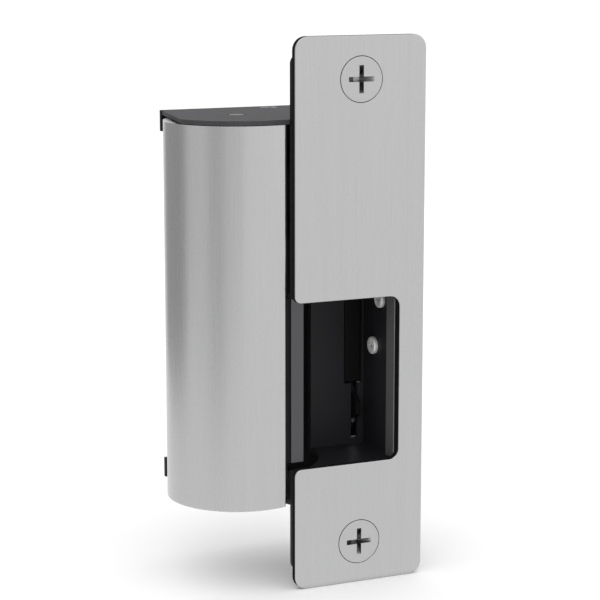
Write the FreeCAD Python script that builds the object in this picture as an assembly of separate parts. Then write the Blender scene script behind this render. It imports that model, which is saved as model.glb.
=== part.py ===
import FreeCAD, Part
import math

# Electric door strike with a rotary keeper.
# Millimetres. X runs across the faceplate, Y into the door jamb, Z up.
# Y = 0 is the seat plane: the back of the mounting flange, where the strike meets the jamb.

V = FreeCAD.Vector

# ---- faceplate and flange ----
PLATE_W = 31.75
PLATE_H = 123.83
PLATE_T = 1.6
PLATE_CORNER_R = 3.0
FLANGE_T = 1.6
FLANGE_W = 31.4
FLANGE_H = 116.0
FRONT_Y = -(PLATE_T + FLANGE_T)
CUT_RIGHT = 9.85
CUT_TOP = 3.7
CUT_BOTTOM = -34.0
CUT_CORNER_R = 2.4
CUT_LIP_R = 1.6
FLANGE_CUT_RIGHT = 10.3
FLANGE_CUT_TOP = 4.8
FLANGE_CUT_BOTTOM = -34.6
FRONT_EDGE_R = 0.25

# ---- jamb screws ----
JAMB_SCREW_Z = 52.39
JAMB_SHANK_R = 2.74
JAMB_NECK_R = 2.3
THREAD_START = 0.1
JAMB_HEAD_R = 5.0
JAMB_SEAT_R = 5.2
JAMB_CLEAR_R = 3.0
JAMB_SCREW_END = 12.5
JAMB_TIP_CHAMFER = 0.7
COUNTERSINK = math.tan(math.radians(41.0))

# ---- housing ----
WALL_X = 13.0
WALL_T = 1.2
INNER_X = WALL_X - WALL_T
BACK_Y = 33.2
BACK_T = 1.0
CAP_T = 1.0
TOP_Z = 42.9
BOTTOM_Z = -42.3
EAR_X = -33.2
BACK_LEFT_X = -31.0
CAP_SCREW_SPOTS = [(10.3, 30.9), (-7.4, 30.9), (10.3, 2.35), (-4.2, 2.35)]
CAP_SCREW_HEAD_R = 2.05
CAP_SCREW_DEPTH = 4.2
CAP_SEAT_R = 2.25
BACK_SCREW_X = [10.4, -7.4]
BACK_SCREW_Z = [-36.0, 35.0]
BACK_SCREW_DEPTH = 3.4
SMALL_SCREW_R = 1.2
WALL_SCREW_HOLE_R = 1.05
POCKET_SCREW_HOLE_R = 1.1

# ---- keeper drum ----
DRUM_X = -21.5
DRUM_Y = 16.4
DRUM_R = 16.4
SHELL_T = 2.0
SHELL_START = 135.0
SHELL_END = 289.0
SHELL_TOP = 42.75
SHELL_BOTTOM = -43.3
CARRIER_R = 14.35
CARRIER_TOP = 42.6
CARRIER_BOTTOM = -42.1
HUB_R = 4.6
PIN_R = 2.0
RUN_CLEAR = 0.05
BUSH_R = 3.2
BUSH_L = 6.0
LIP_TOP = 3.8
LIP_BOTTOM = -33.6
LIP_LEFT = -14.6
LIP_RIGHT = -11.4
LIP_FRONT = 1.9
LIP_BACK = 9.5
LIP_SCREW_Z = [-26.0, -4.0]
LIP_SCREW_Y = 6.0
LIP_SCREW_HOLE_R = 1.05

# ---- partition round the drum ----
PART_R = 18.5
PART_T = 1.2

# ---- latch pocket ----
POCKET_RIGHT = 10.5
POCKET_BACK = 16.8
POCKET_TOP = 5.0
POCKET_BOTTOM = -35.0
LINER_T = 1.2
POCKET_SCREWS = [(11.06, -10.4), (7.6, 1.1)]

# ---- locking bolts ----
BOLT_Z = [17.6, 33.0]
BOLT_TIP_X = -4.3
BOLT_END_X = 8.0
BOLT_FRONT = 18.6
BOLT_BACK = 23.2
BOLT_HALF = 2.0
BOLT_PIN_X = 6.0
BOLT_PIN_R = 1.0
BOLT_PIN_FRONT = 19.0
GUIDE_CLEAR = 0.1
LOCK_TRAVEL = 5.5
CATCH_Y = 23.4
CATCH_R = 16.2
CATCH_HALF = 3.5
CATCH_ROOT_X = -12.0
CATCH_REAR = 27.2

# ---- solenoid ----
SOL_X = 4.8
SOL_Y = 8.8
SOL_BOTTOM = 15.0
SOL_TOP = 38.2
SOL_STRAP = 1.6
ARMATURE_R = 3.0
ARMATURE_BOTTOM = 9.0
ARMATURE_TOP = 23.2
CORE_BOTTOM = 29.0
BOBBIN_R = 5.3
SOL_SCREW_Z = [23.0, 31.0]

# ---- latch monitor ----
LEVER_X0 = 5.9
LEVER_X1 = 9.8
LEVER_PIVOT_Y = 20.4
LEVER_PIVOT_Z = 1.0
SWITCH_X0 = 5.0
SWITCH_X1 = 10.8
SWITCH_Y0 = 24.2
SWITCH_Y1 = 30.7
SWITCH_Z0 = -13.6
SWITCH_Z1 = -0.8
SWITCH_SCREW_Z = [-11.4, -3.0]
SWITCH_SCREW_Y = 28.9

# ---- wiring board ----
BOARD_SPOTS = [(-2.4, 14.6), (6.6, 36.2)]
BOARD_FRONT = 27.2
BOARD_BACK = 28.4
STANDOFF_NECK_R = 1.3


def box(x0, x1, y0, y1, z0, z1):
    return Part.makeBox(x1 - x0, y1 - y0, z1 - z0, V(x0, y0, z0))


def rod_x(x0, x1, y, z, r):
    return Part.makeCylinder(r, x1 - x0, V(x0, y, z), V(1, 0, 0))


def rod_y(y0, y1, x, z, r):
    return Part.makeCylinder(r, y1 - y0, V(x, y0, z), V(0, 1, 0))


def rod_z(z0, z1, x, y, r):
    return Part.makeCylinder(r, z1 - z0, V(x, y, z0), V(0, 0, 1))


def cone(base, axis, r0, r1, length):
    return Part.makeCone(r0, r1, length, base, axis)


def prism_z(points, z0, z1):
    loop = [V(x, y, z0) for x, y in points]
    face = Part.Face(Part.makePolygon(loop + [loop[0]]))
    return face.extrude(V(0, 0, z1 - z0))


def prism_x(points, x0, x1):
    loop = [V(x0, y, z) for y, z in points]
    face = Part.Face(Part.makePolygon(loop + [loop[0]]))
    return face.extrude(V(x1 - x0, 0, 0))


def prism_y(points, y0, y1):
    loop = [V(x, y0, z) for x, z in points]
    face = Part.Face(Part.makePolygon(loop + [loop[0]]))
    return face.extrude(V(0, y1 - y0, 0))


def drum_point(r, degrees, z=0.0):
    a = math.radians(degrees)
    return V(DRUM_X + r * math.cos(a), DRUM_Y + r * math.sin(a), z)


def arc_wall(r_in, r_out, a0, a1, z0, z1):
    mid = 0.5 * (a0 + a1)
    outer = Part.Arc(drum_point(r_out, a0, z0), drum_point(r_out, mid, z0), drum_point(r_out, a1, z0))
    inner = Part.Arc(drum_point(r_in, a1, z0), drum_point(r_in, mid, z0), drum_point(r_in, a0, z0))
    end_a = Part.makeLine(drum_point(r_out, a1, z0), drum_point(r_in, a1, z0))
    end_b = Part.makeLine(drum_point(r_in, a0, z0), drum_point(r_out, a0, z0))
    loop = Part.Wire([outer.toShape(), end_a, inner.toShape(), end_b])
    return Part.Face(loop).extrude(V(0, 0, z1 - z0))


def drum_disc(r, z0, z1):
    return rod_z(z0, z1, DRUM_X, DRUM_Y, r)


def fuse(shapes):
    whole = shapes[0].multiFuse(shapes[1:]) if len(shapes) > 1 else shapes[0]
    return whole.removeSplitter()


def pick_edges(shape, test):
    return [e for e in shape.Edges if test(e)]


def edge_at(edge, x=None, y=None, z=None):
    c = edge.CenterOfMass
    wanted = [(c.x, x), (c.y, y), (c.z, z)]
    return all(value is None or abs(actual - value) < 0.02 for actual, value in wanted)


def corner_edges(shape, half_width, half_height):
    return pick_edges(shape, lambda e: abs(e.CenterOfMass.x) > half_width - 0.1 and
                      abs(e.CenterOfMass.z) > half_height - 0.1)


def save(name, shape):
    shape.exportStep("parts/" + name + ".step")
    count = len(shape.Solids)
    print(name, "solids", count, "valid", shape.isValid(), "volume %.1f" % shape.Volume)


def cross_recess(top, axis, reach, width, depth):
    # Four-armed driver recess that narrows to a point along axis.
    taper = cone(top, axis, reach, 0.25 * reach, depth)
    arms = box(-reach, reach, -width / 2, width / 2, 0, depth)
    arms = arms.fuse(box(-width / 2, width / 2, -reach, reach, 0, depth))
    arms.Placement = FreeCAD.Placement(top, FreeCAD.Rotation(V(0, 0, 1), axis))
    return arms.common(taper)


def flat_head_screw(top, axis, head_r, shank_r, length, recess=True):
    # Countersunk screw: head face at top, running along axis.
    head_l = (head_r - shank_r) / COUNTERSINK
    head = cone(top, axis, head_r, shank_r, head_l)
    shank = Part.makeCylinder(shank_r, length - head_l, top + axis * head_l, axis)
    screw = head.fuse(shank)
    tip = 0.25 * shank_r
    tip_cut = Part.makeCylinder(shank_r + 1, tip, top + axis * (length - tip), axis)
    tip_cut = tip_cut.cut(cone(top + axis * (length - tip), axis, shank_r, shank_r - tip, tip))
    screw = screw.cut(tip_cut)
    if recess:
        screw = screw.cut(cross_recess(top, axis, 0.62 * head_r, 0.22 * head_r, 0.9 * head_l))
    return screw.removeSplitter()


def pan_head_screw(seat, axis, head_r, head_h, shank_r, length):
    # Pan-head screw: head stands on the seat against axis, shank runs along axis.
    top = seat - axis * head_h
    head = Part.makeCylinder(head_r, head_h, top, axis)
    rim = [e for e in head.Edges if e.CenterOfMass.distanceToPoint(top) < 0.01]
    head = head.makeFillet(0.35 * head_h, rim)
    screw = head.fuse(Part.makeCylinder(shank_r, length, seat, axis))
    screw = screw.cut(cross_recess(top, axis, 0.58 * head_r, 0.24 * head_r, 0.7 * head_h))
    return screw.removeSplitter()


def coil_spring(x, y, z0, z1, mean_r, wire_r, turns, start_degrees):
    pitch = (z1 - z0) / turns
    path = Part.makeHelix(pitch, z1 - z0, mean_r)
    slope = math.atan2(pitch, 2 * math.pi * mean_r)
    along = V(0, math.cos(slope), math.sin(slope))
    section = Part.Wire(Part.makeCircle(wire_r, V(mean_r, 0, 0), along))
    coil = Part.Wire(path).makePipeShell([section], True, True)
    spin = FreeCAD.Rotation(V(0, 0, 1), start_degrees)
    coil.Placement = FreeCAD.Placement(V(x, y, z0), spin)
    return Part.Solid(coil) if coil.ShapeType != "Solid" else coil


# ---- faceplate ----
def make_faceplate():
    w = PLATE_W / 2
    h = PLATE_H / 2
    back_y = FRONT_Y + PLATE_T
    plate = box(-w, w, FRONT_Y, back_y, -h, h)
    corners = corner_edges(plate, w, h)
    plate = plate.makeFillet(PLATE_CORNER_R, corners)
    plate = plate.cut(box(-w - 1, CUT_RIGHT, FRONT_Y - 1, back_y + 1, CUT_BOTTOM, CUT_TOP))
    mid_y = FRONT_Y + PLATE_T / 2
    inner = pick_edges(plate, lambda e: edge_at(e, x=CUT_RIGHT, y=mid_y) and
                       (edge_at(e, z=CUT_TOP) or edge_at(e, z=CUT_BOTTOM)))
    plate = plate.makeFillet(CUT_CORNER_R, inner)
    outer = pick_edges(plate, lambda e: edge_at(e, x=-w, y=mid_y) and
                       (edge_at(e, z=CUT_TOP) or edge_at(e, z=CUT_BOTTOM)))
    plate = plate.makeFillet(CUT_LIP_R, outer)
    front = pick_edges(plate, lambda e: all(abs(v.Point.y - FRONT_Y) < 1e-6 for v in e.Vertexes))
    plate = plate.makeFillet(FRONT_EDGE_R, front)
    for side in (-1, 1):
        seat = V(0, FRONT_Y, side * JAMB_SCREW_Z)
        plate = plate.cut(cone(seat, V(0, 1, 0), JAMB_SEAT_R, JAMB_SEAT_R - PLATE_T * COUNTERSINK, PLATE_T))
    return plate


def make_jamb_screw(z):
    # Undercut neck through the flange, then the full thread size from the seat plane on.
    top = V(0, FRONT_Y, z)
    neck_length = THREAD_START - FRONT_Y
    neck = flat_head_screw(top, V(0, 1, 0), JAMB_HEAD_R, JAMB_NECK_R, neck_length + 1.0)
    neck = neck.common(rod_y(FRONT_Y, THREAD_START, 0, z, JAMB_HEAD_R))
    thread = rod_y(THREAD_START, JAMB_SCREW_END, 0, z, JAMB_SHANK_R)
    tip = pick_edges(thread, lambda e: edge_at(e, y=JAMB_SCREW_END))
    return neck.fuse(thread.makeChamfer(JAMB_TIP_CHAMFER, tip)).removeSplitter()


def make_jamb_screws():
    return Part.makeCompound([make_jamb_screw(JAMB_SCREW_Z), make_jamb_screw(-JAMB_SCREW_Z)])


# ---- housing ----
def make_body_frame():
    w = FLANGE_W / 2
    h = FLANGE_H / 2
    flange = box(-w, w, -FLANGE_T, 0, -h, h)
    corners = corner_edges(flange, w, h)
    flange = flange.makeFillet(2.0, corners)
    cut = box(-w - 1, FLANGE_CUT_RIGHT, -FLANGE_T - 1, 1, FLANGE_CUT_BOTTOM, FLANGE_CUT_TOP)
    flange = flange.cut(cut)
    seat_r = JAMB_SEAT_R - PLATE_T * COUNTERSINK
    for side in (-1, 1):
        z = side * JAMB_SCREW_Z
        seat_depth = (seat_r - JAMB_CLEAR_R) / COUNTERSINK
        flange = flange.cut(cone(V(0, -FLANGE_T, z), V(0, 1, 0), seat_r, JAMB_CLEAR_R, seat_depth))
        flange = flange.cut(rod_y(-FLANGE_T - 0.1, 0.1, 0, z, JAMB_CLEAR_R))
    wall = box(INNER_X, WALL_X, 0, BACK_Y, BOTTOM_Z, TOP_Z)
    roof_z = POCKET_TOP + LINER_T
    floor_z = POCKET_BOTTOM - LINER_T
    posts = [
        box(9.0, INNER_X, 29.4, BACK_Y, 30.0, TOP_Z),
        box(9.0, INNER_X, 29.4, BACK_Y, BOTTOM_Z, -30.0),
        box(8.8, INNER_X, 0, 3.2, roof_z, TOP_Z),
        box(8.8, INNER_X, 0, 4.2, BOTTOM_Z, floor_z),
        box(8.8, INNER_X, 3.2, 4.2, SOL_TOP + 0.3, TOP_Z),
        box(-6.0, -2.5, 0, 4.0, roof_z, TOP_Z),
        box(-6.0, -2.5, 0, 4.0, BOTTOM_Z, floor_z),
    ]
    frame = fuse([flange, wall] + posts)
    for x, y in CAP_SCREW_SPOTS:
        frame = frame.cut(rod_z(TOP_Z - CAP_SCREW_DEPTH, TOP_Z + 1, x, y, SMALL_SCREW_R))
        frame = frame.cut(rod_z(BOTTOM_Z - 1, BOTTOM_Z + CAP_SCREW_DEPTH, x, y, SMALL_SCREW_R))
    for z in BACK_SCREW_Z:
        frame = frame.cut(rod_y(BACK_Y - BACK_SCREW_DEPTH, BACK_Y + 1, BACK_SCREW_X[0], z, SMALL_SCREW_R))
    for y, z in POCKET_SCREWS:
        frame = frame.cut(rod_x(INNER_X - 1, WALL_X + 1, y, z, POCKET_SCREW_HOLE_R))
    for z in SOL_SCREW_Z:
        frame = frame.cut(rod_x(INNER_X - 1, WALL_X + 1, SOL_Y, z, WALL_SCREW_HOLE_R))
    for z in SWITCH_SCREW_Z:
        frame = frame.cut(rod_x(INNER_X - 1, WALL_X + 1, SWITCH_SCREW_Y, z, WALL_SCREW_HOLE_R))
    return frame


def cap_screw_seats(cap, z_face, direction):
    # Countersunk seats: z_face is the outer face, direction points inwards along Z.
    axis = V(0, 0, direction)
    z_low, z_high = sorted((z_face, z_face + direction * CAP_T))
    for x, y in CAP_SCREW_SPOTS:
        cap = cap.cut(cone(V(x, y, z_face), axis, CAP_SEAT_R, CAP_SEAT_R - CAP_T * COUNTERSINK, CAP_T))
        cap = cap.cut(rod_z(z_low, z_high, x, y, SMALL_SCREW_R + 0.2))
    return cap


def make_upper_cap():
    z0 = TOP_Z
    turn = 200.0
    start = V(DRUM_X, DRUM_Y - DRUM_R, z0)
    arc = Part.Arc(start, drum_point(DRUM_R, 235.0, z0), drum_point(DRUM_R, turn, z0))
    left = Part.makeLine(drum_point(DRUM_R, turn, z0), V(EAR_X + 0.2, BACK_Y, z0))
    back = Part.makeLine(V(EAR_X + 0.2, BACK_Y, z0), V(WALL_X, BACK_Y, z0))
    right = Part.makeLine(V(WALL_X, BACK_Y, z0), V(WALL_X, 0, z0))
    front = Part.makeLine(V(WALL_X, 0, z0), start)
    outline = Part.Wire([arc.toShape(), left, back, right, front])
    cap = Part.Face(outline).extrude(V(0, 0, CAP_T))
    cap = cap.cut(drum_disc(PIN_R, z0 - 1, z0 + CAP_T + 1))
    return cap_screw_seats(cap, z0 + CAP_T, -1)


def make_lower_cap():
    z1 = BOTTOM_Z
    z0 = z1 - CAP_T
    side = box(-14.0, WALL_X, 0, BACK_Y, z0, z1).cut(drum_disc(DRUM_R + 0.4, z0 - 1, z1 + 1))
    bridge = arc_wall(8.0, DRUM_R + 1.0, -66.0, 30.0, z0, z1)
    disc = drum_disc(DRUM_R - SHELL_T - 0.3, z0, z1)
    cap = fuse([side, bridge, disc])
    cap = cap.cut(box(-60, 30, -20, 0, z0 - 1, z1 + 1))
    cap = cap.cut(drum_disc(PIN_R, z0 - 1, z1 + 1))
    return cap_screw_seats(cap, z0, 1)


def make_back_plate():
    top = TOP_Z + CAP_T
    bottom = BOTTOM_Z - CAP_T
    y1 = BACK_Y + BACK_T
    plate = box(BACK_LEFT_X, WALL_X, BACK_Y, y1, bottom, top)
    upper_ear = box(EAR_X, BACK_LEFT_X, BACK_Y, y1, 39.1, top)
    lower_ear = box(EAR_X, BACK_LEFT_X, BACK_Y, y1, -42.7, -38.1)
    plate = fuse([plate, upper_ear, lower_ear])
    plate = plate.cut(box(-1.6, 5.8, BACK_Y - 1, y1 + 1, 18.8, 27.2))
    for x in BACK_SCREW_X:
        for z in BACK_SCREW_Z:
            plate = plate.cut(rod_y(BACK_Y - 1, y1 + 1, x, z, SMALL_SCREW_R + 0.1))
    for x, z in BOARD_SPOTS:
        plate = plate.cut(rod_y(BACK_Y - 1, y1 + 1, x, z, STANDOFF_NECK_R))
    return plate


def make_drum_partition():
    z0 = BOTTOM_Z
    z1 = TOP_Z
    ring = arc_wall(PART_R, PART_R + PART_T, -66.0, 66.0, z0, z1)
    boss = box(-10.5, -4.6, 29.2, BACK_Y, z0, z1).cut(drum_disc(PART_R, z0 - 1, z1 + 1))
    wall = fuse([ring, boss])
    wall = wall.common(box(-30, INNER_X, 0, BACK_Y, z0, z1))
    wall = wall.cut(box(-30, 20, -1, POCKET_BACK + LINER_T, POCKET_BOTTOM - LINER_T, POCKET_TOP + LINER_T))
    for z in BOLT_Z:
        z_low = z - BOLT_HALF - 0.15
        z_high = z + BOLT_HALF + 0.15
        wall = wall.cut(box(-9, 0, BOLT_FRONT - 0.15, BOLT_BACK + 0.15, z_low, z_high))
    x, y = CAP_SCREW_SPOTS[1]
    wall = wall.cut(rod_z(z1 - CAP_SCREW_DEPTH, z1 + 1, x, y, SMALL_SCREW_R))
    wall = wall.cut(rod_z(z0 - 1, z0 + CAP_SCREW_DEPTH, x, y, SMALL_SCREW_R))
    for z in BACK_SCREW_Z:
        wall = wall.cut(rod_y(BACK_Y - BACK_SCREW_DEPTH, BACK_Y + 1, BACK_SCREW_X[1], z, SMALL_SCREW_R))
    return wall


def make_pocket_liner():
    z0 = POCKET_BOTTOM - LINER_T
    z1 = POCKET_TOP + LINER_T
    y1 = POCKET_BACK + LINER_T
    liner = box(-16, POCKET_RIGHT + LINER_T, 0, y1, z0, z1)
    liner = liner.cut(box(-17, POCKET_RIGHT, -1, POCKET_BACK, POCKET_BOTTOM, POCKET_TOP))
    liner = liner.cut(drum_disc(PART_R, z0 - 1, z1 + 1))
    liner = liner.cut(box(5.5, 10.2, POCKET_BACK - 1, y1 + 1, -20.4, 4.2))
    liner = liner.cut(box(7.4, 9.1, POCKET_BACK - 1, y1 + 1, -33.5, -20.0))
    lugs = [box(x0, x0 + 1.3, y1, 22.6, -1.5, 3.8) for x0 in (4.1, 10.3)]
    liner = fuse([liner] + lugs)
    liner = liner.cut(rod_x(4.0, 11.7, LEVER_PIVOT_Y, LEVER_PIVOT_Z, 1.0))
    for y, z in POCKET_SCREWS:
        liner = liner.cut(rod_x(POCKET_RIGHT - 1, 12.0, y, z, POCKET_SCREW_HOLE_R))
    return liner


def make_pocket_trim():
    trim = box(POCKET_RIGHT - 0.3, POCKET_RIGHT, 0.1, 4.2, POCKET_BOTTOM + 0.1, POCKET_TOP - 0.1)
    mid_z = (POCKET_BOTTOM + POCKET_TOP) / 2
    long_edges = pick_edges(trim, lambda e: edge_at(e, x=POCKET_RIGHT - 0.3, z=mid_z))
    return trim.makeFillet(0.15, long_edges)


def make_pocket_screws():
    seats = [V(POCKET_RIGHT, y, z) for y, z in POCKET_SCREWS]
    return Part.makeCompound([pan_head_screw(s, V(1, 0, 0), 2.0, 0.9, 1.05, 2.4) for s in seats])


def make_cap_screws():
    screws = []
    for x, y in CAP_SCREW_SPOTS:
        screws.append(flat_head_screw(V(x, y, TOP_Z + CAP_T), V(0, 0, -1), CAP_SCREW_HEAD_R, 1.15, 4.8))
        screws.append(flat_head_screw(V(x, y, BOTTOM_Z - CAP_T), V(0, 0, 1), CAP_SCREW_HEAD_R, 1.15, 4.8))
    return Part.makeCompound(screws)


def make_back_screws():
    seats = [V(x, BACK_Y + BACK_T, z) for x in BACK_SCREW_X for z in BACK_SCREW_Z]
    return Part.makeCompound([pan_head_screw(s, V(0, -1, 0), 2.1, 1.1, 1.15, 4.2) for s in seats])


# ---- keeper ----
def make_keeper_shell():
    shell = arc_wall(DRUM_R - SHELL_T, DRUM_R, SHELL_START, SHELL_END, SHELL_BOTTOM, SHELL_TOP)
    outer_z = (SHELL_BOTTOM + SHELL_TOP) / 2
    axis_point = V(DRUM_X, DRUM_Y, outer_z)
    ends = pick_edges(shell, lambda e: edge_at(e, z=outer_z) and
                      abs(e.CenterOfMass.distanceToPoint(axis_point) - DRUM_R) < 0.01)
    return shell.makeFillet(0.5, ends)


def make_keeper_carrier():
    z0 = CARRIER_BOTTOM
    z1 = CARRIER_TOP
    spine = arc_wall(12.4, CARRIER_R, 150.0, 286.0, z0, z1)
    rib_bottoms = [z0, -15.0, 5.0, z1 - 2.0]
    ribs = [arc_wall(3.0, CARRIER_R, SHELL_START, SHELL_END - 1, z, z + 2.0) for z in rib_bottoms]
    hub = drum_disc(HUB_R, z0, z1)
    web_shape = [(-18.2, 15.0), (LIP_LEFT, LIP_BACK), (LIP_LEFT, 4.1)]
    web_shape += [(-17.7, 2.75), (-18.2, 6.0), (-21.0, 12.5)]
    web = prism_z(web_shape, z0, z1)
    lip_block = box(-16.2, LIP_LEFT, 2.4, 8.0, LIP_BOTTOM, LIP_TOP)
    neck_shape = [(-20.5, 20.5), (-17.6, 18.0), (CATCH_ROOT_X, CATCH_Y)]
    neck_shape += [(CATCH_ROOT_X, CATCH_REAR), (-13.0, CATCH_REAR)]
    necks = [prism_z(neck_shape, z - CATCH_HALF, z + CATCH_HALF) for z in BOLT_Z]
    carrier = fuse([hub, spine, web, lip_block] + ribs + necks)
    carrier = carrier.cut(drum_disc(HUB_R + 0.6, 21.2, 29.4))
    carrier = carrier.cut(drum_disc(2.6, z0 - 1, z1 + 1))
    carrier = carrier.cut(drum_disc(BUSH_R, z1 - BUSH_L, z1 + 1))
    carrier = carrier.cut(drum_disc(BUSH_R, z0 - 1, z0 + BUSH_L))
    for z in LIP_SCREW_Z:
        carrier = carrier.cut(rod_x(-17.0, LIP_LEFT + 1, LIP_SCREW_Y, z, LIP_SCREW_HOLE_R))
    return carrier.removeSplitter()


def make_keeper_catches():
    # Hardened blocks that the locking bolts slide in front of.
    blocks = []
    for z in BOLT_Z:
        block = box(CATCH_ROOT_X, -4.0, CATCH_Y, CATCH_REAR, z - CATCH_HALF, z + CATCH_HALF)
        blocks.append(block.common(drum_disc(CATCH_R, z - CATCH_HALF, z + CATCH_HALF)))
    return Part.makeCompound(blocks)


def make_keeper_lip():
    lip = box(LIP_LEFT, LIP_RIGHT, LIP_FRONT, LIP_BACK, LIP_BOTTOM, LIP_TOP)
    mid_z = (LIP_BOTTOM + LIP_TOP) / 2
    long_edges = pick_edges(lip, lambda e: edge_at(e, x=LIP_RIGHT, z=mid_z))
    lip = lip.makeFillet(0.4, long_edges)
    for z in LIP_SCREW_Z:
        lip = lip.cut(rod_x(LIP_LEFT - 1, LIP_RIGHT + 1, LIP_SCREW_Y, z, LIP_SCREW_HOLE_R))
        lip = lip.cut(cone(V(LIP_RIGHT, LIP_SCREW_Y, z), V(-1, 0, 0), 2.0, LIP_SCREW_HOLE_R,
                           (2.0 - LIP_SCREW_HOLE_R) / COUNTERSINK))
    return lip


def make_lip_screws():
    tops = [V(LIP_RIGHT, LIP_SCREW_Y, z) for z in LIP_SCREW_Z]
    return Part.makeCompound([flat_head_screw(t, V(-1, 0, 0), 1.9, 1.0, 5.2) for t in tops])


def make_keeper_pin():
    pin = drum_disc(PIN_R, BOTTOM_Z - CAP_T, TOP_Z + CAP_T)
    return pin.makeChamfer(0.3, pin.Edges[:1] + pin.Edges[2:])


def make_bushings():
    spans = [(CARRIER_TOP - BUSH_L, CARRIER_TOP), (CARRIER_BOTTOM, CARRIER_BOTTOM + BUSH_L)]
    rings = []
    for z0, z1 in spans:
        rings.append(drum_disc(BUSH_R, z0, z1).cut(drum_disc(PIN_R + RUN_CLEAR, z0 - 1, z1 + 1)))
    return Part.makeCompound(rings)


def make_keeper_spring():
    z0 = 21.9
    z1 = 28.7
    r = 3.3
    wire = 0.45
    coil = coil_spring(DRUM_X, DRUM_Y, z0, z1, r, wire, 6.5, 180.0)
    moving_leg = rod_x(-33.6, DRUM_X - r, DRUM_Y, z0, wire)
    fixed_leg = rod_x(DRUM_X + r, -3.4, DRUM_Y, z1, wire)
    moving_knee = Part.makeSphere(wire, V(DRUM_X - r, DRUM_Y, z0))
    fixed_knee = Part.makeSphere(wire, V(DRUM_X + r, DRUM_Y, z1))
    return coil.multiFuse([moving_leg, fixed_leg, moving_knee, fixed_knee])


# ---- solenoid and lock ----
def make_solenoid_frame():
    x0 = -1.0
    y0 = 3.3
    y1 = 14.3
    bottom = box(x0, INNER_X, y0, y1, SOL_BOTTOM, SOL_BOTTOM + SOL_STRAP)
    top = box(x0, INNER_X, y0, y1, SOL_TOP - SOL_STRAP, SOL_TOP)
    side = box(INNER_X - SOL_STRAP, INNER_X, y0, y1, SOL_BOTTOM, SOL_TOP)
    strap = fuse([bottom, top, side])
    bends = pick_edges(strap, lambda e: edge_at(e, x=INNER_X, y=(y0 + y1) / 2))
    strap = strap.makeFillet(1.2, bends)
    strap = strap.cut(rod_z(SOL_BOTTOM - 1, SOL_BOTTOM + 3, SOL_X, SOL_Y, ARMATURE_R + 0.1))
    strap = strap.cut(rod_z(SOL_TOP - 3, SOL_TOP + 1, SOL_X, SOL_Y, 2.0))
    for z in SOL_SCREW_Z:
        strap = strap.cut(rod_x(INNER_X - 3, INNER_X + 1, SOL_Y, z, WALL_SCREW_HOLE_R))
    return strap


def make_bobbin():
    z0 = SOL_BOTTOM + SOL_STRAP + 0.1
    z1 = SOL_TOP - SOL_STRAP - 0.1
    tube = rod_z(z0, z1, SOL_X, SOL_Y, 3.7)
    flanges = [rod_z(z0, z0 + 1, SOL_X, SOL_Y, BOBBIN_R), rod_z(z1 - 1, z1, SOL_X, SOL_Y, BOBBIN_R)]
    return fuse([tube] + flanges).cut(rod_z(z0 - 1, z1 + 1, SOL_X, SOL_Y, ARMATURE_R + 0.08))


def make_winding():
    z0 = SOL_BOTTOM + SOL_STRAP + 1.15
    z1 = SOL_TOP - SOL_STRAP - 1.15
    return rod_z(z0, z1, SOL_X, SOL_Y, 5.0).cut(rod_z(z0 - 1, z1 + 1, SOL_X, SOL_Y, 3.72))


def make_core():
    body = rod_z(CORE_BOTTOM, SOL_TOP - SOL_STRAP, SOL_X, SOL_Y, ARMATURE_R)
    neck = rod_z(SOL_TOP - SOL_STRAP, SOL_TOP, SOL_X, SOL_Y, 2.0)
    head = rod_z(SOL_TOP, SOL_TOP + 0.8, SOL_X, SOL_Y, 2.8)
    return fuse([body, neck, head])


def make_armature():
    body = rod_z(ARMATURE_BOTTOM, ARMATURE_TOP, SOL_X, SOL_Y, ARMATURE_R)
    stem = rod_z(ARMATURE_BOTTOM - 1.6, ARMATURE_BOTTOM, SOL_X, SOL_Y, 1.6)
    rivet = rod_z(ARMATURE_BOTTOM - 2.5, ARMATURE_BOTTOM - 1.6, SOL_X, SOL_Y, 2.4)
    armature = fuse([body, stem, rivet])
    return armature.cut(rod_z(ARMATURE_TOP - 7, ARMATURE_TOP + 1, SOL_X, SOL_Y, 1.6))


def make_armature_spring():
    return coil_spring(SOL_X, SOL_Y, ARMATURE_TOP - 6.7, CORE_BOTTOM - 0.3, 1.15, 0.2, 12, 0.0)


def make_cam_plate():
    z0 = ARMATURE_BOTTOM - 1.6
    foot = box(0.8, 8.6, 6.0, 25.6, z0, z0 + 1.6)
    upright = box(-1.8, 8.6, 24.0, 25.6, z0, 36.5)
    plate = fuse([foot, upright])
    plate = plate.cut(rod_z(z0 - 1, z0 + 3, SOL_X, SOL_Y, 1.6))
    slot_r = BOLT_PIN_R + 0.1
    for z in BOLT_Z:
        x_low = BOLT_PIN_X - LOCK_TRAVEL
        z_low = z - LOCK_TRAVEL
        d = slot_r / math.sqrt(2)
        upper_end = [(BOLT_PIN_X - d, z + d), (BOLT_PIN_X + d, z - d)]
        lower_end = [(x_low + d, z_low - d), (x_low - d, z_low + d)]
        band = prism_y(upper_end + lower_end, 23.0, 26.6)
        ends = [rod_y(23.0, 26.6, BOLT_PIN_X, z, slot_r), rod_y(23.0, 26.6, x_low, z_low, slot_r)]
        plate = plate.cut(band.multiFuse(ends))
    return plate.removeSplitter()


def make_locking_bolt(z):
    bolt = box(BOLT_TIP_X, BOLT_END_X, BOLT_FRONT, BOLT_BACK, z - BOLT_HALF, z + BOLT_HALF)
    nose = pick_edges(bolt, lambda e: edge_at(e, x=BOLT_TIP_X, y=BOLT_FRONT))
    bolt = bolt.makeChamfer(0.8, nose)
    return bolt.cut(rod_y(BOLT_PIN_FRONT, BOLT_BACK + 1, BOLT_PIN_X, z, BOLT_PIN_R))


def make_bolt_pin(z):
    pin = rod_y(BOLT_PIN_FRONT, 25.8, BOLT_PIN_X, z, BOLT_PIN_R)
    return pin.fuse(rod_y(25.8, 26.4, BOLT_PIN_X, z, 1.6)).removeSplitter()


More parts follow.
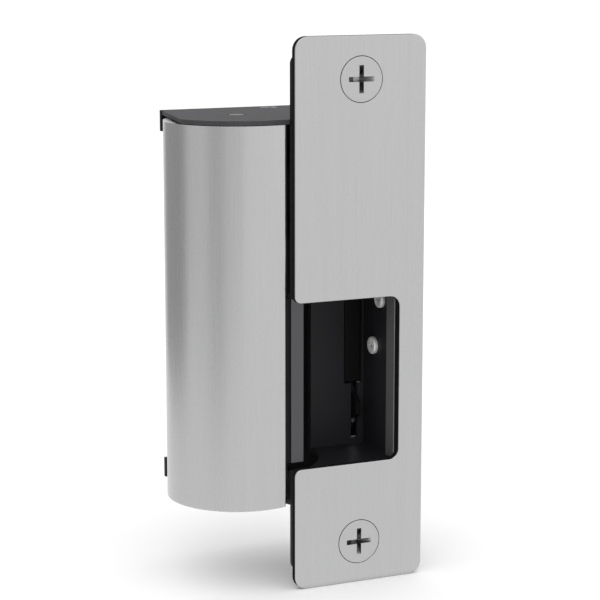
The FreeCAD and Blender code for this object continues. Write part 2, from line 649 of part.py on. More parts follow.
def make_bolt_guide():
    guide = box(-3.5, 3.0, 15.0, BOLT_BACK, 14.7, 37.0).cut(drum_disc(PART_R + PART_T + 0.03, 10, 40))
    half = BOLT_HALF + GUIDE_CLEAR
    for z in BOLT_Z:
        guide = guide.cut(box(-5, 4, BOLT_FRONT - GUIDE_CLEAR, BOLT_BACK + 1, z - half, z + half))
    return guide


def make_wall_screws(y, heights, length):
    seats = [V(WALL_X, y, z) for z in heights]
    return Part.makeCompound([pan_head_screw(s, V(-1, 0, 0), 1.9, 0.9, 1.0, length) for s in seats])


# ---- latch monitor ----
def make_monitor_lever():
    pad = box(LEVER_X0, LEVER_X1, 17.3, 19.3, -20.0, 3.6)
    boss = rod_x(LEVER_X0, LEVER_X1, LEVER_PIVOT_Y, LEVER_PIVOT_Z, 2.0)
    arm_shape = [(18.8, -19.0), (19.3, -16.0), (20.8, -19.0), (20.8, -31.5), (18.8, -31.5), (18.8, -30.5)]
    finger_shape = [(14.8, -27.5), (14.8, -24.5), (18.8, -21.5)]
    tail = prism_x(arm_shape + finger_shape, 7.65, 8.85)
    bump = box(6.9, 8.7, 19.0, 22.6, -7.9, -6.5)
    lever = fuse([pad, boss, tail, bump])
    return lever.cut(rod_x(LEVER_X0 - 1, LEVER_X1 + 1, LEVER_PIVOT_Y, LEVER_PIVOT_Z, 1.0 + RUN_CLEAR))


def make_monitor_switch():
    body = box(SWITCH_X0, SWITCH_X1, SWITCH_Y0, SWITCH_Y1, SWITCH_Z0, SWITCH_Z1)
    edges = pick_edges(body, lambda e: edge_at(e, y=SWITCH_Y0) and
                       (edge_at(e, z=SWITCH_Z0) or edge_at(e, z=SWITCH_Z1)))
    body = body.makeChamfer(0.6, edges)
    body = body.cut(box(6.9, 8.7, SWITCH_Y0 - 1, 27.0, -8.0, -6.4))
    for z in SWITCH_SCREW_Z:
        body = body.cut(rod_x(6.0, SWITCH_X1 + 1, SWITCH_SCREW_Y, z, 1.0))
    return body


def make_switch_terminals():
    blades = [box(7.5, 8.1, SWITCH_Y1, 32.9, z - 0.6, z + 0.6) for z in (-12.0, -7.2, -2.4)]
    return Part.makeCompound(blades)


def make_switch_spacer():
    spacer = box(SWITCH_X1, INNER_X, SWITCH_Y0, SWITCH_Y1, -14.0, -0.4)
    for z in SWITCH_SCREW_Z:
        spacer = spacer.cut(rod_x(SWITCH_X1 - 1, INNER_X + 1, SWITCH_SCREW_Y, z, WALL_SCREW_HOLE_R))
    return spacer


# ---- wiring board ----
def make_board():
    board = box(-4.2, 8.4, BOARD_FRONT, BOARD_BACK, 12.4, 38.2)
    for x, z in BOARD_SPOTS:
        board = board.cut(rod_y(BOARD_FRONT - 0.2, BOARD_BACK + 0.2, x, z, WALL_SCREW_HOLE_R))
    return board


def make_standoffs():
    posts = []
    for x, z in BOARD_SPOTS:
        post = rod_y(BOARD_BACK, BACK_Y, x, z, 1.8)
        post = post.fuse(rod_y(BACK_Y, BACK_Y + BACK_T, x, z, STANDOFF_NECK_R))
        posts.append(post.cut(rod_y(28.0, 31.0, x, z, 0.95)).removeSplitter())
    return Part.makeCompound(posts)


def make_board_screws():
    seats = [V(x, BOARD_FRONT, z) for x, z in BOARD_SPOTS]
    return Part.makeCompound([pan_head_screw(s, V(0, 1, 0), 1.7, 0.7, 0.95, 3.6) for s in seats])


def make_socket():
    shell = box(-1.4, 5.6, BOARD_BACK, BACK_Y + BACK_T, 19.0, 27.0)
    shell = shell.cut(box(0.3, 3.9, 30.0, BACK_Y + BACK_T + 1, 19.8, 26.2))
    for z in (21.4, 24.6):
        shell = shell.cut(rod_y(28.0, 30.5, 2.1, z, 0.45))
    return shell


def make_socket_pins():
    return Part.makeCompound([rod_y(BOARD_BACK, BACK_Y, 2.1, z, 0.45) for z in (21.4, 24.6)])


save("faceplate", make_faceplate())
save("jamb_screws", make_jamb_screws())
save("body_frame", make_body_frame())
save("upper_cap", make_upper_cap())
save("lower_cap", make_lower_cap())
save("back_plate", make_back_plate())
save("drum_partition", make_drum_partition())
save("pocket_liner", make_pocket_liner())
save("pocket_trim", make_pocket_trim())
save("pocket_screws", make_pocket_screws())
save("cap_screws", make_cap_screws())
save("back_plate_screws", make_back_screws())
save("keeper_shell", make_keeper_shell())
save("keeper_carrier", make_keeper_carrier())
save("keeper_catches", make_keeper_catches())
save("keeper_lip", make_keeper_lip())
save("keeper_lip_screws", make_lip_screws())
save("keeper_pin", make_keeper_pin())
save("keeper_bushings", make_bushings())
save("keeper_spring", make_keeper_spring())
save("solenoid_frame", make_solenoid_frame())
save("solenoid_bobbin", make_bobbin())
save("coil_winding", make_winding())
save("solenoid_core", make_core())
save("solenoid_armature", make_armature())
save("armature_spring", make_armature_spring())
save("lock_cam_plate", make_cam_plate())
save("lower_locking_bolt", make_locking_bolt(BOLT_Z[0]))
save("upper_locking_bolt", make_locking_bolt(BOLT_Z[1]))
save("lower_bolt_pin", make_bolt_pin(BOLT_Z[0]))
save("upper_bolt_pin", make_bolt_pin(BOLT_Z[1]))
save("bolt_guide", make_bolt_guide())
save("solenoid_screws", make_wall_screws(SOL_Y, SOL_SCREW_Z, 2.6))
save("monitor_lever", make_monitor_lever())
save("monitor_pivot_pin", rod_x(4.1, 11.6, LEVER_PIVOT_Y, LEVER_PIVOT_Z, 1.0))
save("monitor_switch", make_monitor_switch())
save("switch_button", box(7.0, 8.6, 22.65, 25.6, -7.9, -6.5))
save("switch_terminals", make_switch_terminals())
save("switch_spacer", make_switch_spacer())
save("switch_screws", make_wall_screws(SWITCH_SCREW_Y, SWITCH_SCREW_Z, 6.8))
save("wiring_board", make_board())
save("board_standoffs", make_standoffs())
save("board_screws", make_board_screws())
save("wiring_socket", make_socket())
save("socket_pins", make_socket_pins())
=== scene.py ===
import bmesh
import bpy
import math
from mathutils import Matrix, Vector


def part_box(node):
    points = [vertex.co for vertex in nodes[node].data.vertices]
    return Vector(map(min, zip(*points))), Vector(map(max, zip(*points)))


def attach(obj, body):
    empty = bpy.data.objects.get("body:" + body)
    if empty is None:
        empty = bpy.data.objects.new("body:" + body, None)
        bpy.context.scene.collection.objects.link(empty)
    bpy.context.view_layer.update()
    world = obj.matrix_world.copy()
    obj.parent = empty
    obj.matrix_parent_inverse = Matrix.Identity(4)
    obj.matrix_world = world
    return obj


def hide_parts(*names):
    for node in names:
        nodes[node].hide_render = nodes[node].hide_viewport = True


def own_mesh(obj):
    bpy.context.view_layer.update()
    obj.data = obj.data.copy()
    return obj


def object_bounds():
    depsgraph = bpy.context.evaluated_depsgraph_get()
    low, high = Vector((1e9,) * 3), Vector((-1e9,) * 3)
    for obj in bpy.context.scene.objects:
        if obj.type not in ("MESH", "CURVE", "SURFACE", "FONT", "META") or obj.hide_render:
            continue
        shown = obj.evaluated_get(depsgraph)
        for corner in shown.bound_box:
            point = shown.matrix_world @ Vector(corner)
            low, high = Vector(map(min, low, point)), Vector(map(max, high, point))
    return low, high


MM = 0.001
WELD = 0.002 * MM

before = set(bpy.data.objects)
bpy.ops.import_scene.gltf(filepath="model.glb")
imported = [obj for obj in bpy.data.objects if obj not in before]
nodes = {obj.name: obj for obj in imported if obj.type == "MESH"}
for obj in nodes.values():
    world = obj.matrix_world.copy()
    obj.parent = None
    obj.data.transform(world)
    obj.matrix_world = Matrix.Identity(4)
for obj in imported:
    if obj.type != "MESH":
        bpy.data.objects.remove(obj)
cad_low, cad_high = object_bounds()

# ---------------------------------------------------------------- camera
# Looks at the middle of the faceplate's front, from its left and a little above.
YAW = math.radians(24.11)
PITCH = math.radians(10.54)
DISTANCE = 0.4356
AIM_RIGHT = -0.01343
AIM_UP = 0.003416

plate_low, plate_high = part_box("faceplate")
plate_front = Vector(((plate_low.x + plate_high.x) / 2, plate_low.y, (plate_low.z + plate_high.z) / 2))
level = Vector((math.sin(YAW), math.cos(YAW), 0.0))
right = Vector((math.cos(YAW), -math.sin(YAW), 0.0))
ahead = level * math.cos(PITCH) - Vector((0, 0, math.sin(PITCH)))
upward = level * math.sin(PITCH) + Vector((0, 0, math.cos(PITCH)))
camera_data = bpy.data.cameras.new("camera")
camera_data.lens = 117.35
camera_data.sensor_width = 36.0
camera = bpy.data.objects.new("camera", camera_data)
camera.location = plate_front - ahead * DISTANCE + right * AIM_RIGHT + upward * AIM_UP
camera.rotation_euler = (math.pi / 2 - PITCH, 0.0, -YAW)
bpy.context.collection.objects.link(camera)
bpy.context.scene.camera = camera


# ---------------------------------------------------------------- materials
class Nodes:
    """A material being built from shader nodes, in row coordinates (metres)."""

    def __init__(self, name):
        self.material = bpy.data.materials.new(name)
        self.material.use_nodes = True
        self.tree = self.material.node_tree
        self.shader = self.tree.nodes["Principled BSDF"]
        self.place = self.add("ShaderNodeTexCoord").outputs["Object"]

    def add(self, kind, **settings):
        node = self.tree.nodes.new(kind)
        for key, value in settings.items():
            setattr(node, key, value)
        return node

    def join(self, source, target):
        self.tree.links.new(source, target)

    def stretched(self, scale):
        """Coordinates scaled per axis: small numbers make long streaks along that axis."""
        mapping = self.add("ShaderNodeMapping")
        mapping.inputs["Scale"].default_value = scale
        self.join(self.place, mapping.inputs["Vector"])
        return mapping.outputs["Vector"]

    def noise(self, scale, detail=4.0, rough=0.55, warp=0.0, vector=None):
        node = self.add("ShaderNodeTexNoise")
        node.inputs["Scale"].default_value = scale
        node.inputs["Detail"].default_value = detail
        node.inputs["Roughness"].default_value = rough
        node.inputs["Distortion"].default_value = warp
        self.join(self.place if vector is None else vector, node.inputs["Vector"])
        return node.outputs["Fac"]

    def cells(self, scale):
        node = self.add("ShaderNodeTexVoronoi")
        node.inputs["Scale"].default_value = scale
        self.join(self.place, node.inputs["Vector"])
        return node.outputs["Distance"]

    def spread(self, value, low, high, out_low, out_high):
        """value, carried from the range low to high onto the range out_low to out_high."""
        node = self.add("ShaderNodeMapRange")
        ends = {"From Min": low, "From Max": high, "To Min": out_low, "To Max": out_high}
        for socket, number in ends.items():
            node.inputs[socket].default_value = number
        self.join(value, node.inputs["Value"])
        return node.outputs["Result"]

    def math(self, operation, a, b=None):
        node = self.add("ShaderNodeMath", operation=operation)
        for socket, value in zip(node.inputs, (a, b)):
            if isinstance(value, (int, float)):
                socket.default_value = value
            elif value is not None:
                self.join(value, socket)
        return node.outputs[0]

    def blend(self, factor, first, second):
        """Colour mix. Inputs 6 and 7 of the node are its two colours, and output 2 is the result."""
        node = self.add("ShaderNodeMix", data_type="RGBA")
        self.join(factor, node.inputs["Factor"])
        for socket, value in zip((node.inputs[6], node.inputs[7]), (first, second)):
            if isinstance(value, tuple):
                socket.default_value = (*value, 1.0)
            else:
                self.join(value, socket)
        return node.outputs[2]

    def edges(self, radius):
        """1 along convex and concave edges, 0 on the flats."""
        rounded = self.add("ShaderNodeBevel", samples=4)
        rounded.inputs["Radius"].default_value = radius
        flat = self.add("ShaderNodeNewGeometry")
        dot = self.add("ShaderNodeVectorMath", operation="DOT_PRODUCT")
        self.join(rounded.outputs["Normal"], dot.inputs[0])
        self.join(flat.outputs["Normal"], dot.inputs[1])
        return self.spread(dot.outputs["Value"], 0.999, 0.93, 0.0, 1.0)

    def relief(self, height, depth, edge_radius):
        """Bump of the given depth in metres, over softly rounded edges."""
        rounded = self.add("ShaderNodeBevel", samples=4)
        rounded.inputs["Radius"].default_value = edge_radius
        bump = self.add("ShaderNodeBump")
        bump.inputs["Distance"].default_value = depth
        self.join(height, bump.inputs["Height"])
        self.join(rounded.outputs["Normal"], bump.inputs["Normal"])
        self.join(bump.outputs["Normal"], self.shader.inputs["Normal"])

    def painted_recess_shade(self, colour, amount, reach):
        """Painted shade, with a little dust: darkens recesses and inside corners, found by ambient
        occlusion, towards near-black.
        """
        hidden = self.add("ShaderNodeAmbientOcclusion", samples=6)
        hidden.inputs["Distance"].default_value = reach
        mask = self.spread(hidden.outputs["AO"], 0.35, 0.85, amount, 0.0)
        return self.blend(mask, colour, (0.012, 0.012, 0.013))

    # Every finish gets painted shade in its recesses, by the amount given.
    def finish(self, colour, roughness, metallic, painted_recess_shade=0.35, reach=1.5 * MM):
        self.join(self.painted_recess_shade(colour, painted_recess_shade, reach), self.shader.inputs["Base Color"])
        self.join(roughness, self.shader.inputs["Roughness"])
        self.shader.inputs["Metallic"].default_value = metallic
        return self.material


def shade(colour, factor):
    return tuple(min(1.0, c * factor) for c in colour)


def brushed(name, colour, rough, streaks, depth, metallic=1.0, contrast=0.05, anisotropy=0.0, painted_side_shade=None):
    """Metal with fine parallel brush marks. streaks is the scale along each axis.
    The last argument is painted shade: the near-black colour given to the faces that don't look along Y."""
    m = Nodes(name)
    marks = m.noise(1.0, 6.0, 0.7, vector=m.stretched(streaks))
    coarse = m.noise(1.0, 2.0, vector=m.stretched(tuple(s * 0.12 for s in streaks)))
    patches = m.noise(45.0, 3.0)
    both = m.math("ADD", m.math("MULTIPLY", marks, 0.7), m.math("MULTIPLY", coarse, 0.3))
    dark, light = shade(colour, 1 - contrast), shade(colour, 1 + contrast)
    base = m.blend(m.spread(both, 0.3, 0.7, 0.0, 1.0), dark, light)
    base = m.blend(m.spread(patches, 0.35, 0.7, 0.0, 0.35), base, shade(colour, 1 - 0.6 * contrast))
    # Painted highlight: lighter along the edges.
    base = m.blend(m.math("MULTIPLY", m.edges(0.2 * MM), 0.5), base, shade(colour, 1.18))
    # Painted shade: faces that don't look along Y turn near-black and lose their shine.
    if painted_side_shade is not None:
        facing = m.add("ShaderNodeSeparateXYZ")
        m.join(m.add("ShaderNodeTexCoord").outputs["Normal"], facing.inputs[0])
        side_shade_mask = m.spread(m.math("ABSOLUTE", facing.outputs["Y"]), 0.5, 0.2, 0.0, 1.0)
        base = m.blend(side_shade_mask, base, painted_side_shade)
        bright = m.math("SUBTRACT", 1.0, side_shade_mask)
        m.join(m.math("MULTIPLY", bright, 0.5), m.shader.inputs["Specular IOR Level"])
    m.relief(marks, depth, 0.12 * MM)
    m.shader.inputs["Anisotropic"].default_value = anisotropy
    material = m.finish(base, m.spread(both, 0.25, 0.75, rough - 0.05, rough + 0.06), metallic)
    if painted_side_shade is not None:
        m.join(bright, m.shader.inputs["Metallic"])
    return material


def coated(name, colour, worn, rough, grain, depth, wear=0.5, metallic=0.0, gloss=0.25):
    """Painted or blackened metal: orange peel, faint dust and rubbed edges."""
    m = Nodes(name)
    peel = m.noise(grain, 3.0, 0.6)
    cloud = m.noise(70.0, 4.0)
    chips = m.noise(900.0, 5.0, 0.7)
    base = m.blend(m.spread(cloud, 0.35, 0.7, 0.0, 1.0), shade(colour, 0.86), shade(colour, 1.2))
    base = m.blend(m.spread(peel, 0.6, 0.8, 0.0, 0.25), base, shade(colour, 1.6))
    rubbed = m.math("MULTIPLY", m.edges(0.25 * MM), m.spread(chips, 0.42, 0.62, 0.25, 1.0))
    base = m.blend(m.math("MULTIPLY", rubbed, wear), base, worn)
    m.relief(peel, depth, 0.12 * MM)
    m.shader.inputs["Specular IOR Level"].default_value = gloss
    uneven = m.math("ADD", peel, cloud)
    return m.finish(base, m.spread(uneven, 0.6, 1.4, rough - 0.07, rough + 0.09), metallic)


def turned(name, colour, rough, centre_height, ring_scale):
    """Screw steel with the fine rings that facing on a lathe leaves, centred on each mirrored screw."""
    m = Nodes(name)
    split = m.add("ShaderNodeSeparateXYZ")
    m.join(m.place, split.inputs[0])
    up = m.math("SUBTRACT", m.math("ABSOLUTE", split.outputs["Z"]), centre_height)
    squares = m.math("ADD", m.math("POWER", split.outputs["X"], 2.0), m.math("POWER", up, 2.0))
    radius = m.math("SQRT", squares)
    rings = m.math("SINE", m.math("MULTIPLY", radius, ring_scale))
    fine = m.noise(2600.0, 4.0, 0.7)
    mixed = m.math("ADD", m.math("MULTIPLY", rings, 0.18), fine)
    base = m.blend(m.spread(mixed, 0.3, 0.8, 0.0, 1.0), shade(colour, 0.93), shade(colour, 1.05))
    # Painted highlight: lighter along the edges.
    base = m.blend(m.math("MULTIPLY", m.edges(0.15 * MM), 0.4), base, shade(colour, 1.2))
    m.relief(mixed, 0.004 * MM, 0.08 * MM)
    # Strong painted shade in the screw's cross recess and round its head.
    return m.finish(base, m.spread(fine, 0.3, 0.7, rough - 0.05, rough + 0.07), 1.0, 0.85, 1.2 * MM)


def plated(name, colour, tint, rough, metallic=1.0, cut_end=None):
    """Zinc plate: a faint crystalline mottle with a slight tint from the passivation.
    cut_end is the darker colour of the bare faces that point along +X."""
    m = Nodes(name)
    spangle = m.cells(420.0)
    cloud = m.noise(110.0, 4.0, warp=0.6)
    base = m.blend(m.spread(cloud, 0.35, 0.68, 0.0, 1.0), colour, tint)
    base = m.blend(m.spread(spangle, 0.1, 0.7, 0.0, 0.3), base, shade(colour, 0.8))
    # Painted highlight: lighter along the edges.
    base = m.blend(m.math("MULTIPLY", m.edges(0.2 * MM), 0.5), base, shade(colour, 1.2))
    if cut_end is not None:
        facing = m.add("ShaderNodeSeparateXYZ")
        m.join(m.add("ShaderNodeTexCoord").outputs["Normal"], facing.inputs[0])
        base = m.blend(m.spread(facing.outputs["X"], 0.9, 0.98, 0.0, 1.0), base, cut_end)
    m.relief(m.noise(1500.0, 3.0), 0.005 * MM, 0.1 * MM)
    return m.finish(base, m.spread(spangle, 0.0, 0.8, rough, rough + 0.14), metallic)


def moulded(name, colour, rough, grain, depth, specks, gloss=0.5):
    """Moulded plastic: a spark-eroded grain, flow shading and a few paler specks."""
    m = Nodes(name)
    texture = m.noise(grain, 4.0, 0.6)
    flow = m.noise(60.0, 3.0, warp=1.2)
    base = m.blend(m.spread(flow, 0.3, 0.7, 0.0, 1.0), shade(colour, 0.88), shade(colour, 1.1))
    base = m.blend(m.spread(texture, 0.68, 0.8, 0.0, specks), base, shade(colour, 1.7))
    m.relief(texture, depth, 0.12 * MM)
    m.shader.inputs["Specular IOR Level"].default_value = gloss
    return m.finish(base, m.spread(texture, 0.3, 0.7, rough - 0.06, rough + 0.08), 0.0)


def sintered(name, colour, rough):
    """Pressed bronze with open pores and oil-darkened patches."""
    m = Nodes(name)
    pores = m.cells(2400.0)
    oil = m.noise(160.0, 4.0)
    base = m.blend(m.spread(oil, 0.35, 0.7, 0.0, 1.0), colour, shade(colour, 0.7))
    base = m.blend(m.spread(pores, 0.25, 0.05, 0.0, 0.8), base, shade(colour, 0.3))
    m.relief(pores, 0.02 * MM, 0.08 * MM)
    return m.finish(base, m.spread(oil, 0.3, 0.7, rough - 0.06, rough + 0.1), 1.0)


def drawn(name, colour, rough, lacquer):
    """Drawn wire: fine die lines; lacquer is the clear coat over enamelled copper."""
    m = Nodes(name)
    lines = m.noise(3200.0, 5.0, 0.7, warp=0.4)
    tone = m.noise(240.0, 3.0)
    base = m.blend(m.spread(tone, 0.3, 0.7, 0.0, 1.0), shade(colour, 0.82), shade(colour, 1.12))
    m.relief(lines, 0.003 * MM, 0.05 * MM)
    m.shader.inputs["Coat Weight"].default_value = lacquer
    m.shader.inputs["Coat Roughness"].default_value = 0.12
    return m.finish(base, m.spread(lines, 0.3, 0.7, rough - 0.05, rough + 0.08), 1.0)


def circuit(name, mask, copper):
    """Solder mask over etched tracks, which show as slightly raised paler lanes."""
    m = Nodes(name)
    split = m.add("ShaderNodeSeparateXYZ")
    m.join(m.place, split.inputs[0])
    flat = m.add("ShaderNodeCombineXYZ")
    m.join(split.outputs["X"], flat.inputs["X"])
    m.join(split.outputs["Z"], flat.inputs["Y"])
    tracks = m.add("ShaderNodeTexBrick")
    tracks.inputs["Scale"].default_value = 150.0
    tracks.inputs["Mortar Size"].default_value = 0.035
    tracks.inputs["Mortar Smooth"].default_value = 0.4
    m.join(flat.outputs["Vector"], tracks.inputs["Vector"])
    weave = m.noise(1400.0, 3.0)
    base = m.blend(tracks.outputs["Fac"], mask, copper)
    base = m.blend(m.spread(weave, 0.35, 0.7, 0.0, 0.35), base, shade(mask, 0.6))
    m.relief(m.math("ADD", tracks.outputs["Fac"], m.math("MULTIPLY", weave, 0.2)), 0.03 * MM, 0.1 * MM)
    return m.finish(base, m.spread(weave, 0.3, 0.7, 0.26, 0.4), 0.0)


screws_low, screws_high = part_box("jamb_screws")
head_radius = (screws_high.x - screws_low.x) / 2
screw_height = screws_high.z - head_radius

ALONG_Z = (2600.0, 2600.0, 60.0)
SOFT_ALONG_Z = (2200.0, 2200.0, 70.0)
ALONG_X = (60.0, 2400.0, 2400.0)
STEEL = (0.455, 0.455, 0.458)

finishes = {
    "satin_steel": brushed("satin_steel", STEEL, 0.27, ALONG_Z, 0.004 * MM, 1.0, 0.035, 0.25),
    "screw_steel": turned("screw_steel", STEEL, 0.33, screw_height, 24000.0),
    "black_casting": coated("black_casting", (0.0065, 0.0065, 0.007), (0.14, 0.14, 0.145), 0.52, 1500.0,
                            0.03 * MM, 0.3, 0.0, 0.12),
    "dark_cap": coated("dark_cap", (0.05, 0.05, 0.054), (0.13, 0.13, 0.135), 0.6, 1800.0,
                       0.02 * MM, 0.35, 0.0, 0.08),
    "charcoal_liner": coated("charcoal_liner", (0.016, 0.016, 0.019), (0.08, 0.08, 0.084), 0.5, 1700.0,
                             0.02 * MM, 0.2, 0.0, 0.2),
    "grey_trim": brushed("grey_trim", (0.115, 0.115, 0.12), 0.44, SOFT_ALONG_Z, 0.005 * MM, 0.85, 0.08),
    "black_screw": coated("black_screw", (0.03, 0.03, 0.032), (0.26, 0.26, 0.27), 0.36, 2600.0,
                          0.008 * MM, 0.6, 0.6),
    "bronze": sintered("bronze", (0.62, 0.42, 0.2), 0.4),
    "spring_steel": drawn("spring_steel", (0.55, 0.55, 0.57), 0.28, 0.0),
    "zinc_steel": plated("zinc_steel", (0.58, 0.59, 0.61), (0.62, 0.6, 0.52), 0.3),
    "white_nylon": moulded("white_nylon", (0.72, 0.71, 0.66), 0.48, 1300.0, 0.015 * MM, 0.08),
    "copper_wire": drawn("copper_wire", (0.62, 0.25, 0.1), 0.3, 0.8),
    "hard_steel": brushed("hard_steel", (0.42, 0.42, 0.43), 0.26, ALONG_X, 0.003 * MM, 1.0, 0.08),
    "black_plastic": moulded("black_plastic", (0.006, 0.006, 0.0065), 0.5, 1500.0, 0.02 * MM, 0.2, 0.1),
    "red_plastic": moulded("red_plastic", (0.45, 0.03, 0.025), 0.32, 1200.0, 0.01 * MM, 0.1),
    "board_green": circuit("board_green", (0.012, 0.11, 0.045), (0.05, 0.24, 0.09)),
}

# Pieces whose finish differs a little from the rest of their slot.
own_finishes = {
    # The faceplate's side faces get painted shade: near-black and dull.
    "faceplate": brushed("faceplate_steel", STEEL, 0.27, ALONG_Z, 0.004 * MM, 1.0, 0.035, 0.25,
                         (0.012, 0.012, 0.013)),
    "keeper_lip": brushed("lip_grey", (0.085, 0.085, 0.089), 0.44, SOFT_ALONG_Z, 0.005 * MM, 0.85, 0.08),
    "pocket_trim": brushed("trim_grey", (0.19, 0.19, 0.196), 0.5, SOFT_ALONG_Z, 0.005 * MM, 0.6, 0.08),
    # The pocket screws are painted near-white, a painted highlight so they read bright inside the dark
    # pocket.
    "pocket_screws": plated("pale_screw_painted_highlight", (0.92, 0.92, 0.93), (0.88, 0.88, 0.86), 0.42, 0.4,
                            (0.05, 0.05, 0.052)),
    # The keeper spring is painted near-black, as painted shade: its leg shows in the dark gap by the
    # keeper.
    "keeper_spring": drawn("dark_spring_painted_shade", (0.05, 0.05, 0.052), 0.42, 0.0),
}

for name, node in nodes.items():
    for material_slot in node.material_slots:
        slot_name = material_slot.material.name.split(".")[0]
        material_slot.material = own_finishes.get(name, finishes[slot_name])


# ---------------------------------------------------------------- new pieces
def mesh_piece(name, bm, slot, body):
    bmesh.ops.recalc_face_normals(bm, faces=bm.faces)
    data = bpy.data.meshes.new(name)
    bm.to_mesh(data)
    bm.free()
    piece = bpy.data.objects.new(name, data)
    bpy.context.collection.objects.link(piece)
    data.materials.append(finishes[slot])
    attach(piece, body)
    return piece


def helical_skin(bm, centre, axis, start, end, radius_at, pitch, rows_per_turn, around):
    """Grid of rings along axis whose radius follows a helix. Returns the first and last ring."""
    count = max(2, round((end - start) / pitch * rows_per_turn))
    rings = []
    for row in range(count + 1):
        along = start + (end - start) * row / count
        ring = []
        for step in range(around):
            turn = step / around
            phase = (along / pitch - turn) % 1.0
            r = radius_at(along, phase)
            a = 2 * math.pi * turn
            across = Vector((r * math.cos(a), r * math.sin(a)))
            spot = (across.x, along, across.y) if axis == "y" else (across.x, across.y, along)
            ring.append(bm.verts.new(centre + Vector(spot)))
        rings.append(ring)
    for first, second in zip(rings, rings[1:]):
        for step in range(around):
            after = (step + 1) % around
            face = bm.faces.new((first[step], first[after], second[after], second[step]))
            face.smooth = True
    return rings[0], rings[-1]


# Jamb screws: the CAD head and neck with a real helical thread on the shank.
SHANK_R = 2.74 * MM
THREAD_START = 0.1 * MM
NECK_CUT = 0.05 * MM
THREAD_DEPTH = 0.42 * MM
THREAD_PITCH = 1.06 * MM
TIP_TAPER = 0.9 * MM
TIP_SLOPE = 0.8
RUN_IN = 1.0 * MM
INTO_NECK = 0.3 * MM
CREST_START = 0.12
CREST_RISE = 0.66
THREAD_ROWS = 8
AROUND = 48

screw_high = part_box("jamb_screws")[1]


def thread_radius(along, phase):
    flank = 1.0 - abs(2.0 * phase - 1.0)
    crest = min(1.0, max(0.0, (flank - CREST_START) / CREST_RISE))
    grown = min(1.0, max(0.0, (along - THREAD_START) / RUN_IN))
    tip = max(0.0, along - (screw_high.y - TIP_TAPER)) * TIP_SLOPE
    return SHANK_R - THREAD_DEPTH * (1.0 - crest * grown) - tip


for name, sign in (("jamb_screw_upper", 1), ("jamb_screw_lower", -1)):
    bm = bmesh.new()
    bm.from_mesh(nodes["jamb_screws"].data)
    away = [v for v in bm.verts if v.co.z * sign < 0 or v.co.y > NECK_CUT]
    bmesh.ops.delete(bm, geom=away, context="VERTS")
    bmesh.ops.remove_doubles(bm, verts=bm.verts, dist=WELD)
    bmesh.ops.holes_fill(bm, edges=[e for e in bm.edges if e.is_boundary], sides=0)
    centre = Vector((0.0, 0.0, sign * screw_height))
    first, last = helical_skin(bm, centre, "y", THREAD_START - INTO_NECK, screw_high.y, thread_radius,
                               THREAD_PITCH, THREAD_ROWS, AROUND)
    bm.faces.new(first)
    bm.faces.new(last)
    mesh_piece(name, bm, "screw_steel", "housing")
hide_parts("jamb_screws")

# Coil: a ring of copper whose outside shows every turn.
WIRE_PITCH = 0.36 * MM
WIRE_BUMP = 0.09 * MM
WIRE_ROWS = 7
WINDING_DEPTH = 1.28 * MM
coil_low, coil_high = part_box("coil_winding")
coil_radius = (coil_high.x - coil_low.x) / 2
coil_inner = coil_radius - WINDING_DEPTH
coil_middle = Vector(((coil_low.x + coil_high.x) / 2, (coil_low.y + coil_high.y) / 2, 0.0))


def wire_radius(along, phase):
    return coil_radius - WIRE_BUMP * (1.0 - math.sqrt(max(0.0, 1.0 - (2.0 * phase - 1.0) ** 2)))


def inner_radius(along, phase):
    return coil_inner


bm = bmesh.new()
outer_first, outer_last = helical_skin(bm, coil_middle, "z", coil_low.z, coil_high.z, wire_radius,
                                       WIRE_PITCH, WIRE_ROWS, AROUND)
inner_first, inner_last = helical_skin(bm, coil_middle, "z", coil_low.z, coil_high.z, inner_radius,
                                       coil_high.z - coil_low.z, 2, AROUND)
for outer, inner in ((outer_first, inner_first), (outer_last, inner_last)):
    for step in range(AROUND):
        after = (step + 1) % AROUND
        bm.faces.new((outer[step], outer[after], inner[after], inner[step]))
coil = mesh_piece("coil_turns", bm, "copper_wire", "housing")
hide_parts("coil_winding")

# Springs: the CAD wires, with the keeper spring's moving leg cut off so that it turns with the keeper,
# and the armature spring given its own copy of the mesh.
LEG_CUT = 4.0 * MM


def wire_mesh(source):
    bm = bmesh.new()
    bm.from_mesh(nodes[source].data)
    bmesh.ops.remove_doubles(bm, verts=bm.verts, dist=WELD)
    return bm


def wire_piece(name, bm, body, finish):
    for face in bm.faces:
        face.smooth = True
    piece = mesh_piece(name, bm, "spring_steel", body)
    stale = piece.data.attributes.get("custom_normal")
    if stale is not None:
        piece.data.attributes.remove(stale)
    piece.data.materials[0] = finish
    return piece


pin_low, pin_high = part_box("keeper_pin")
cut_spot = ((pin_low.x + pin_high.x) / 2 - LEG_CUT, 0.0, 0.0)
for name, body, away in (("keeper_spring_coil", "housing", -1.0), ("keeper_spring_leg", "keeper", 1.0)):
    bm = wire_mesh("keeper_spring")
    bmesh.ops.bisect_plane(bm, geom=bm.verts[:] + bm.edges[:] + bm.faces[:], plane_co=cut_spot,
                           plane_no=(away, 0.0, 0.0), clear_outer=True)
    bmesh.ops.holes_fill(bm, edges=[e for e in bm.edges if e.is_boundary], sides=0)
    wire_piece(name, bm, body, own_finishes["keeper_spring"])
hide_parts("keeper_spring")

spring = wire_piece("armature_spring_coil", wire_mesh("armature_spring"), "housing",
                    finishes["spring_steel"])
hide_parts("armature_spring")
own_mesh(spring)

# ---------------------------------------------------------------- stage and light
FLOOR_SIZE = 8.0
SKY_STRENGTH = 1.12
CARD_LOW = -0.102
CARD_HIGH = 0.40


def flat_light(name, spot, size, energy):
    """A white rectangular lamp that faces the row origin."""
    data = bpy.data.lights.new(name, "AREA")
    data.shape = "RECTANGLE"
    data.size, data.size_y = size
    data.energy = energy
    lamp = bpy.data.objects.new(name, data)
    lamp.location = spot
    lamp.rotation_euler = (-Vector(spot)).to_track_quat("-Z", "Y").to_euler()
    bpy.context.collection.objects.link(lamp)


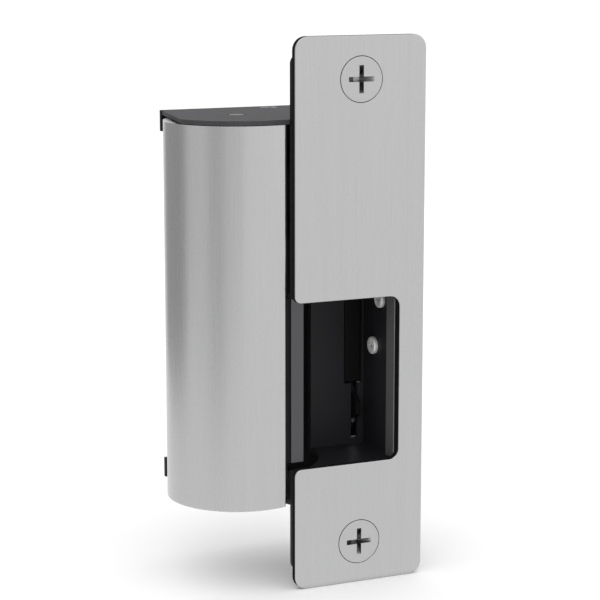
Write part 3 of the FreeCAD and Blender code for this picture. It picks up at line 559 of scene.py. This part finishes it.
bm = bmesh.new()
bmesh.ops.create_grid(bm, x_segments=8, y_segments=8, size=FLOOR_SIZE / 2)
floor_data = bpy.data.meshes.new("floor")
bm.to_mesh(floor_data)
bm.free()
floor = bpy.data.objects.new("floor", floor_data)
floor.location = (0.0, 0.0, cad_low.z)
bpy.context.collection.objects.link(floor)
pale = Nodes("pale_floor")
floor_tone = pale.blend(pale.noise(3.0, 2.0), (0.93, 0.93, 0.93), (0.96, 0.96, 0.96))
floor_rough = pale.spread(pale.noise(40.0, 2.0), 0.3, 0.7, 0.75, 0.85)
floor_data.materials.append(pale.finish(floor_tone, floor_rough, 0.0, 0.0))

world = bpy.data.worlds.new("studio")
world.use_nodes = True
world.node_tree.nodes["Background"].inputs["Color"].default_value = (1.0, 1.0, 1.0, 1.0)
world.node_tree.nodes["Background"].inputs["Strength"].default_value = SKY_STRENGTH
bpy.context.scene.world = world
bpy.context.scene.view_settings.view_transform = "Standard"


def grey_card(name, heading, distance, width, brightness):
    """An upright studio card that only reflections see.
    heading is in degrees, from the camera's side of the object round to its left."""
    turn = math.radians(heading)
    spot = (-level * math.cos(turn) - right * math.sin(turn)) * distance
    across = Vector((-spot.y, spot.x, 0.0)).normalized() * width / 2
    bm = bmesh.new()
    outline = ((-1, CARD_LOW), (1, CARD_LOW), (1, CARD_HIGH), (-1, CARD_HIGH))
    corners = [spot + across * side + Vector((0, 0, z)) for side, z in outline]
    bm.faces.new([bm.verts.new(c) for c in corners])
    data = bpy.data.meshes.new(name)
    bm.to_mesh(data)
    bm.free()
    card = bpy.data.objects.new(name, data)
    bpy.context.collection.objects.link(card)
    material = bpy.data.materials.new(name)
    material.use_nodes = True
    shader = material.node_tree.nodes["Principled BSDF"]
    shader.inputs["Base Color"].default_value = (0.0, 0.0, 0.0, 1.0)
    shader.inputs["Specular IOR Level"].default_value = 0.0
    shader.inputs["Emission Color"].default_value = (brightness, brightness, brightness, 1.0)
    shader.inputs["Emission Strength"].default_value = 1.0
    data.materials.append(material)
    card.visible_camera = False
    card.visible_diffuse = False
    card.visible_shadow = False


grey_card("card_side", 115.0, 0.40, 0.47, 0.49)
grey_card("card_broad", 40.0, 0.42, 1.00, 0.875)
grey_card("card_front", 34.0, 0.38, 0.18, 0.70)
# Without these the brushed shell would mirror the floor and the black body beside it.
floor.visible_glossy = False
for name in ("faceplate", "body_frame", "drum_partition"):
    nodes[name].visible_glossy = False

flat_light("key", (-0.45, -0.7, 0.75), (0.6, 0.6), 1.2)
flat_light("fill", (0.8, -0.6, 0.35), (0.7, 0.7), 0.8)
flat_light("back", (-0.2, 0.8, 0.7), (0.6, 0.5), 0.8)
